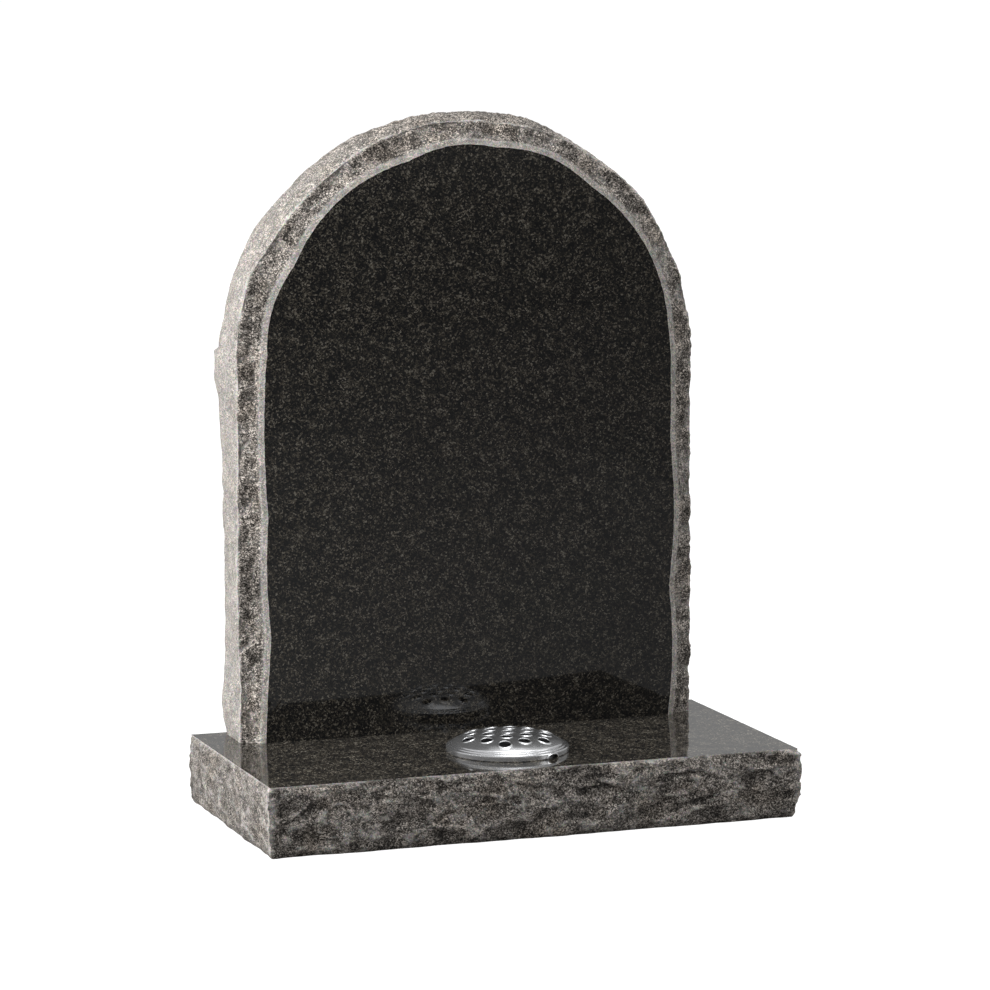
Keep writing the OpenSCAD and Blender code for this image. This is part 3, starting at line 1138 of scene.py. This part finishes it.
    def build(self) -> bpy.types.Object:
        """Builds the slab.

        The skin goes round the four sides in columns and down the height in rows. Flat rings join
        its top and bottom rows to the pot's hole, at the same bearing from the hole's middle, and
        the hole's wall joins the two.

        Returns:
            The piece.
        """
        ring, outward, side = self.ring()
        columns = len(ring)
        down = 1 - np.linspace(0, 1, self.rows) ** self.row_spread
        height = self.height * down[:, None] + np.zeros(columns)
        x, y = (np.broadcast_to(ring[:, k], height.shape) for k in (0, 1))
        on_front = np.broadcast_to(np.where(side == Side.FRONT, 1.0, ramp(
            -np.abs(ring[:, 1] - self.front_y), -14, 0)), height.shape)
        out, rough, lines = self.rock(x, y, height, on_front)
        is_rock = np.where(side == Side.BACK, 0.0, 1.0) * np.ones_like(out)
        out = out * is_rock
        line = np.stack([ring[:, 0], ring[:, 1], 0 * ring[:, 0]], axis=1)
        nibble = self.nibble * ramp(rolling(line, 7, 151, 3), -0.2, 0.7)
        out = out - nibble * bell(1 - down[:, None], 0.012) * is_rock
        points = np.stack([x + outward[:, 0] * out, y + outward[:, 1] * out, height], axis=2)
        points[..., 1] = np.minimum(points[..., 1], self.back_y)
        points[0, side == Side.BACK, 1] -= self.back_arris
        bruise_and_hollow_shade = self.bruise_and_hollow_shade(points.reshape(-1, 3), down, rough, lines, side)

        shell = Shell()
        shell.add_points(points.reshape(-1, 3), bruise_and_hollow_shade.ravel())
        skin = grid_faces(self.rows, columns, closed=True)
        sawn = side[skin[:, 0] % columns] == Side.BACK
        shell.add_faces(skin[~sawn], StoneFace.PITCHED)
        shell.add_faces(skin[sawn], StoneFace.SAWN)
        self.bore(shell, ring, columns)
        finishes = [self.granite.make(face) for face in StoneFace]
        return shell.make("base_stone", finishes, self.sharp_angle,
                          level=(StoneFace.POLISHED, StoneFace.SAWN))

    def bruise_and_hollow_shade(self, flat: Array, down: Array, rough: Array, lines: Array, side: Array) -> Array:
        """How far the stone is crushed to white along the arrises and on high crests, and how far
        painted shade darkens its hollows.

        Args:
            flat: Points of the skin, one to a row.
            down: Share of the height of each row.
            rough: Relief of each point, as rows by columns.
            lines: How near each point is to a crest line, as rows by columns.
            side: Which side each column is on.

        Returns:
            One number for each point: 1 crushed white, 0 fresh, -1 for painted shade in a hollow's
                bottom.
        """
        near = chance(flat, 10, 161, 3, rough.shape)
        top = bell(1 - down[:, None], 0.018) * (0.45 + 0.5 * near)
        to_corner = np.hypot(np.abs(flat[:, 0]) - self.side_x, flat[:, 1] - self.front_y)
        arris = bell(to_corner.reshape(rough.shape), 4.5) * (0.25 + 0.6 * near)
        crests = ramp(rough, 1.6, 4.5) * 0.25 * near + 0.75 * lines * ramp(near, 0.35, 0.65)
        front = side[None] == Side.FRONT
        # Painted shade: the relief's low places are darkened, strongest on the front
        dug = ramp(-rough, -0.6, 2.8) * np.where(front, 0.95, 0.25)
        end = np.where(front, 0.0, 0.03 + 0.2 * near)
        is_rock = np.where(side == Side.BACK, 0.0, 1.0)
        return np.clip(top + arris + crests + end - dug, -1, 1) * is_rock

    def bore(self, shell: Shell, ring: Array, columns: int) -> None:
        """Adds the polished top, the sawn underside and the wall of the pot's hole.

        Args:
            shell: The shell that holds the skin.
            ring: The top's outline.
            columns: Number of points in it.
        """
        bearing = np.arctan2(ring[:, 1] - self.pot_y, ring[:, 0])
        round_x = self.hole_r * np.cos(bearing)
        round_y = self.pot_y + self.hole_r * np.sin(bearing)
        number = np.arange(columns)
        after = np.roll(number, -1)
        foot = (self.rows - 1) * columns
        upper, lower = (shell.add_points(np.stack([round_x, round_y, 0 * round_x + z], axis=1))
                        for z in (self.height, 0.0))
        for loop, slot in (
            ((number, after, upper + after, upper + number), StoneFace.POLISHED),
            ((foot + after, foot + number, lower + number, lower + after), StoneFace.SAWN),
            ((upper + number, upper + after, lower + after, lower + number), StoneFace.SAWN),
        ):
            shell.add_faces(np.stack(loop, axis=1), slot)

    def dress(self, piece: bpy.types.Object) -> None:
        """Ties the piece to the frame and hides the imported node."""
        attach(piece, BODY)
        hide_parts("base")


@dataclass
class FlowerPot:
    """The plain pot in the base's hole, kept as packed."""

    aluminium: SpunAluminium = SpunAluminium("pot_aluminium", (0.32, 0.32, 0.33),
                                             low_gloss=0.5, high_gloss=0.35)

    def build(self) -> bpy.types.Object:
        """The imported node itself: its shape is right as it is."""
        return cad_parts["flower_pot"]

    def dress(self, piece: bpy.types.Object) -> None:
        """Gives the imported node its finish."""
        low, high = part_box("flower_pot")
        finish = self.aluminium.make((low[1] + high[1]) / 2 / MM)
        for slot in piece.material_slots:
            slot.material = finish


@dataclass
class FlowerLid:
    """Domed lid with rolled stem holes, a stepped rim and a thumb notch in its skirt."""

    wall: float = 1.2
    skirt_h: float = 5.5
    edge_curl: float = 0.9
    rim_w: float = 6.5
    dome_edge_h: float = 10.0
    dome_h: float = 20.0
    dome_power: float = 3.8
    stem_r: float = 6.6
    lip_w: float = 1.9
    lip_h: float = 0.9
    lip_wall: float = 0.25
    stem_pitch: float = 24.0
    stem_turn: float = 23.5
    stem_rings: int = 2
    lip_steps: int = 36
    notch_half: float = 7.5
    notch_h: float = 4.8
    notch_turn: float = 27.0
    notch_lip: float = 1.5
    sharp_angle: float = 50.0
    weld: float = 0.02
    notch_span: float = 0.15
    notch_steps: int = 48
    rim_steps: int = 220
    web_step: float = 2.9
    # [distance in from the dome's edge, every how many of the rim's points]
    edge_rings: tuple[tuple[float, int], ...] = ((1.4, 1), (3.2, 2), (5.6, 3))
    # Shares of the way out across a hole's lip
    lip_rings: tuple[float, ...] = (0, 0.1, 0.22, 0.36, 0.52, 0.7, 0.86, 1.0)
    aluminium: SpunAluminium = SpunAluminium("lid_aluminium")
    # [share of the way out across the rim, share of the way down to the skirt]
    rim_beads: tuple[tuple[float, float], ...] = (
        (0, 0), (0.07, 0.24), (0.16, 0.27), (0.44, 0.30), (0.50, 0.60), (0.60, 0.64),
        (0.92, 0.70), (1, 1.05),
    )

    def __post_init__(self) -> None:
        """Takes the lid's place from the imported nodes' boxes."""
        self.nodes = sorted(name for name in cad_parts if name.startswith("flower_lid"))
        lows, highs = zip(*(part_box(name) for name in self.nodes))
        pot_low, pot_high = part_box("flower_pot")
        self.seat_z = min(low[2] for low in lows) / MM
        self.axis_y = (pot_low[1] + pot_high[1]) / 2 / MM
        self.radius = round(-min(low[0] for low in lows) / MM, 2)
        self.dome_r = self.radius - self.rim_w

    def around(self) -> Array:
        """Bearings round the rim, from straight ahead towards the right, closer at the notch."""
        span = self.notch_span
        near = np.linspace(-span, span, self.notch_steps + 1)
        rest = np.linspace(span, 2 * math.pi - span, self.rim_steps + 1)[1:-1]
        return math.radians(self.notch_turn) + np.concatenate([near, rest])

    def stems(self) -> Array:
        """Middles of the stem holes: a six-sided pattern of rings round the middle hole."""
        first, second = (math.radians(self.stem_turn + more) for more in (0, 60))
        steps = range(-self.stem_rings, self.stem_rings + 1)
        return np.array([
            (q * math.sin(first) + r * math.sin(second), q * math.cos(first) + r * math.cos(second))
            for q in steps for r in steps if abs(q + r) <= self.stem_rings
        ]) * self.stem_pitch

    def from_stem(self, flat: Array) -> Array:
        """Distance from each point, given as X and Y, to the middle of the nearest stem hole."""
        return np.linalg.norm(flat[:, None] - self.stems()[None], axis=2).min(axis=1)

    def dome(self, flat: Array) -> Array:
        """Height of the dome's top side above the base.

        The dome falls from its middle height by the share of the radius raised to dome_power. Round
        each hole a lip rises by half a cosine wave, and over its inner crest it rolls down into
        the hole by the square of the way.

        Args:
            flat: Points as X and Y from the lid's axis.

        Returns:
            Heights in millimetres.
        """
        radius = np.linalg.norm(flat, axis=1)
        sheet = self.dome_h - (self.dome_h - self.dome_edge_h) * (
            radius / self.dome_r) ** self.dome_power
        share = np.clip((self.from_stem(flat) - self.stem_r) / self.lip_w, 0, 1)
        crest, roll = 0.3, 0.75
        lip = self.lip_h * np.where(
            share < crest, 1 - roll * (1 - share / crest) ** 2,
            0.5 + 0.5 * np.cos(math.pi * (share - crest) / (1 - crest)))
        return sheet + lip

    def sheet_plan(self) -> tuple[Array, Array]:
        """Plan of the dome, cut into triangles that leave the stem holes open.

        Returns:
            Points as X and Y from the lid's axis, and three point numbers for each triangle.
        """
        turn = self.around()
        rim = np.stack([np.sin(turn), -np.cos(turn)], axis=1)
        stems = self.stems()
        lip = np.linspace(0, 2 * math.pi, self.lip_steps, endpoint=False)
        circle = np.stack([np.cos(lip), np.sin(lip)], axis=1)
        lips = [(stems[:, None] + circle * (self.stem_r + share * self.lip_w)).reshape(-1, 2)
                for share in self.lip_rings]
        plain = [rim[::step] * (self.dome_r - inset) for inset, step in self.edge_rings]
        grid = np.arange(-self.dome_r, self.dome_r, self.web_step)
        web = np.stack(np.meshgrid(grid, grid), axis=-1).reshape(-1, 2) + (0.31, 0.17)
        web = web[np.linalg.norm(web, axis=1) < self.dome_r - 7.4]
        loose = np.concatenate([*plain, web])
        loose = loose[self.from_stem(loose) > self.stem_r + self.lip_w + 0.9]
        flat = np.concatenate([rim * self.dome_r, *lips, loose])
        corners, _, faces, *_ = delaunay_2d_cdt([Vector(p) for p in flat], [], [], 0, 1e-5)
        corners, faces = np.array(corners), np.array(faces)
        middle = corners[faces].mean(axis=1)
        in_hole = self.stem_r * math.cos(math.pi / self.lip_steps) - 0.02
        faces = faces[self.from_stem(middle) > in_hole]
        a, b, c = (corners[faces[:, k]] for k in range(3))
        clockwise = np.cross(b - a, c - a) < 0
        faces[clockwise] = faces[clockwise][:, ::-1]
        return corners, faces

    def smooth_rim(self) -> Array:
        """The rim's profile from the dome's edge to the skirt, its corners cut off three times.

        Returns:
            Points as radius and height above the base.
        """
        across, down = np.array(self.rim_beads).T
        line = np.stack([self.dome_r + across * self.rim_w,
                         self.dome_edge_h + down * (self.skirt_h - self.dome_edge_h)], axis=1)
        near, far = 0.75, 0.25
        for _ in range(3):
            first = near * line[:-1] + far * line[1:]
            second = far * line[:-1] + near * line[1:]
            cut = np.stack([first, second], axis=1).reshape(-1, 2)
            line = np.concatenate([line[:1], cut, line[-1:]])
        return line

    def rim(self) -> Array:
        """Rim and skirt as a grid: out over the rim, down the skirt and back up inside.

        At the notch the skirt's lower edge is lifted to half an ellipse, and a lip of half a sine
        wave is pushed outwards round it.

        Returns:
            Points as rows by bearings by 3, from the lid's axis at the base's top.
        """
        top = self.smooth_rim()
        down = np.concatenate([np.linspace(top[-1, 1], self.edge_curl, 7)[1:],
                               self.edge_curl * np.array([0.66, 0.33, 0.0])])
        curl = self.edge_curl * (1 - np.minimum(down / self.edge_curl, 1)) ** 2
        skirt = np.stack([self.radius - curl, down], axis=1)
        inside = np.concatenate([top, skirt + np.stack([curl, 0 * curl], axis=1)])[::-1] - (
            self.wall, 0)
        inside[len(skirt):, 1] -= self.wall
        inside[1:len(skirt), 1] *= (top[-1, 1] - self.wall) / top[-1, 1]
        profile = np.concatenate([top, skirt, inside])
        turn = self.around()
        radius = profile[:, :1] + 0 * turn
        height = profile[:, 1:] + 0 * turn
        along = (turn - math.radians(self.notch_turn) + math.pi) % (2 * math.pi) - math.pi
        along = along * self.radius
        arch = self.notch_h * np.sqrt(np.clip(1 - (along / self.notch_half) ** 2, 0, 1))
        lift_to = self.skirt_h + 0.9
        height = np.where(height < lift_to, arch + height * (lift_to - arch) / lift_to, height)
        lip_start, lip_span = 0.86, 0.5
        away = np.hypot(along / self.notch_half, height / self.notch_h)
        lip = self.notch_lip * np.sin(math.pi * np.clip((away - lip_start) / lip_span, 0, 1))
        radius = radius + lip * (height < self.skirt_h + 1.5)
        return np.stack([radius * np.sin(turn), -radius * np.cos(turn), height], axis=2)

    def build(self) -> bpy.types.Object:
        """Builds the lid as one closed sheet: dome above, dome below, hole walls, rim and skirt.

        Returns:
            The piece.
        """
        centre = np.array([0, self.axis_y, self.seat_z])
        flat, faces = self.sheet_plan()
        upper = np.column_stack([flat, self.dome(flat)])
        thick = self.lip_wall + (self.wall - self.lip_wall) * ramp(
            self.from_stem(flat), self.stem_r + 0.2, self.stem_r + self.lip_w)
        lower = upper - np.stack([0 * thick, 0 * thick, thick], axis=1)
        shell = Shell()
        top = shell.add_points(upper + centre)
        under = shell.add_points(lower + centre)
        shell.add_faces(faces + top)
        shell.add_faces(faces[:, ::-1] + under)
        edges = np.concatenate([faces[:, [0, 1]], faces[:, [1, 2]], faces[:, [2, 0]]])
        _, first, count = np.unique(np.sort(edges, axis=1), axis=0, return_index=True,
                                    return_counts=True)
        border = edges[first[count == 1]]
        border = border[np.linalg.norm(flat[border[:, 0]], axis=1) < self.dome_r - 0.5]
        a, b = border.T
        shell.add_faces(np.stack([b + top, a + top, a + under, b + under], axis=1))
        grid = self.rim()
        inner = np.linalg.norm(grid[-1, :, :2], axis=1, keepdims=True)
        grid[-1, :, :2] *= self.dome_r / inner
        first_rim = shell.add_points(grid.reshape(-1, 3) + centre)
        shell.add_faces(grid_faces(*grid.shape[:2], closed=True) + first_rim)
        return shell.make("flower_lid_spun", [self.aluminium.make(self.axis_y)],
                          self.sharp_angle, self.weld)

    def dress(self, piece: bpy.types.Object) -> None:
        """Ties the piece to the frame and hides the imported nodes."""
        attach(piece, BODY)
        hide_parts(*self.nodes)


# ---------------------------------------------------------------------------------------------
# Studio


@dataclass(frozen=True)
class SoftBox:
    """A square studio light, in metres and watts, which shiny faces mirror if it is in_gloss."""

    name: str
    place: Point
    aim: Point
    size: float
    power: float
    in_gloss: bool = True

    def hang(self) -> None:
        """Hangs the light, in metres, aimed at its target."""
        light = bpy.data.lights.new(self.name, "AREA")
        light.size = self.size
        light.energy = self.power
        lamp = bpy.data.objects.new(self.name, light)
        lamp.visible_glossy = self.in_gloss
        lamp.location = self.place
        way = Vector(self.aim) - Vector(self.place)
        lamp.rotation_euler = way.to_track_quat("-Z", "Y").to_euler()
        bpy.context.scene.collection.objects.link(lamp)


@dataclass
class Studio:
    """Pale floor, soft light from the left, and the camera."""

    camera_place: Point = (-1.5268, -4.2054, 0.9913)
    camera_turn: float = 0.3489
    camera_dip: float = 0.1410
    lens: float = 148.39
    sensor: float = 36.0
    floor_half: float = 12.0
    floor_shade: float = 0.24
    floor_glow: float = 0.97
    white: float = 1.02
    # [from, to, grey at from, grey at to] for how far back and how high a reflection looks
    grey_behind: tuple[float, float, float, float] = (-0.4, 0.8, 0.12, 0.44)
    grey_above: tuple[float, float, float, float] = (0.15, 0.9, 0.0, 0.55)
    lights: tuple[SoftBox, ...] = (
        SoftBox("left_softbox", (-2.5, -0.35, 1.15), (0.0, 0.0, 0.35), 1.3, 74.0, False),
        SoftBox("left_sheen", (-2.5, -0.35, 1.15), (0.0, 0.0, 0.35), 1.3, 13.0),
        SoftBox("top_softbox", (0.3, -0.4, 2.6), (0.0, 0.0, 0.3), 1.6, 22.0),
        SoftBox("front_fill", (-0.9, -3.2, 1.5), (0.0, 0.0, 0.4), 1.6, 7.0, False),
        SoftBox("right_fill", (2.6, -1.6, 1.2), (0.0, 0.0, 0.4), 1.4, 9.0),
    )

    def build(self) -> None:
        """Sets up the floor, the surroundings, the lights and the camera."""
        self.lay_floor()
        self.surround()
        for light in self.lights:
            light.hang()
        self.place_camera()

    def lay_floor(self) -> None:
        """A flat pale sheet under the base, brighter to the eye than in reflections."""
        half = self.floor_half
        mesh = bpy.data.meshes.new("floor")
        mesh.from_pydata([(-half, -half, 0), (half, -half, 0), (half, half, 0), (-half, half, 0)],
                         [], [(0, 1, 2, 3)])
        floor = bpy.data.objects.new("floor", mesh)
        bpy.context.scene.collection.objects.link(floor)
        shader = Shader("pale_floor")
        seen = shader.node("LightPath").outputs["Is Camera Ray"]
        shader.feed(Base_Color=(self.floor_shade,) * 3 + (1.0,), Roughness=1.0,
                    Specular_IOR_Level=0.0, Emission_Color=(1.0, 1.0, 1.0, 1.0),
                    Emission_Strength=shader.math("MULTIPLY", seen, self.floor_glow))
        mesh.materials.append(shader.material)

    def surround(self) -> None:
        """White to the eye; in reflections a dim grey, lighter behind the object and overhead."""
        world = bpy.data.worlds.new("studio")
        bpy.context.scene.world = world
        world.use_nodes = True
        nodes = Nodes(world.node_tree)
        background = nodes.tree.nodes["Background"]
        direction = nodes.node("TexCoord").outputs["Generated"]
        _, backwards, upwards = nodes.node("SeparateXYZ", {0: direction}).outputs
        grey = nodes.math("ADD", nodes.scaled(backwards, *self.grey_behind),
                          nodes.scaled(upwards, *self.grey_above))
        seen = nodes.node("LightPath").outputs["Is Camera Ray"]
        level = nodes.node("Mix", {0: seen, 2: grey, 3: self.white}).outputs[0]
        nodes.give(background.inputs["Color"], (1.0, 1.0, 1.0, 1.0))
        nodes.give(background.inputs["Strength"], level)

    def place_camera(self) -> None:
        """Places the camera and sets how its light becomes colour."""
        data = bpy.data.cameras.new("camera")
        data.lens = self.lens
        data.sensor_width = self.sensor
        camera = bpy.data.objects.new("camera", data)
        camera.location = self.camera_place
        camera.rotation_euler = (math.pi / 2 - self.camera_dip, 0.0, -self.camera_turn)
        scene = bpy.context.scene
        scene.collection.objects.link(camera)
        scene.camera = camera
        scene.view_settings.view_transform = "Standard"


def main() -> None:
    """Builds and dresses every piece, then the studio."""
    logging.basicConfig(level=logging.INFO, format="%(name)s: %(message)s")
    for maker in (Headstone(), Base(), FlowerPot(), FlowerLid()):
        piece = maker.build()
        maker.dress(piece)
        LOG.info("%s: %d points, %d faces", piece.name, len(piece.data.vertices),
                 len(piece.data.polygons))
    Studio().build()


if __name__ == "__main__":
    main()
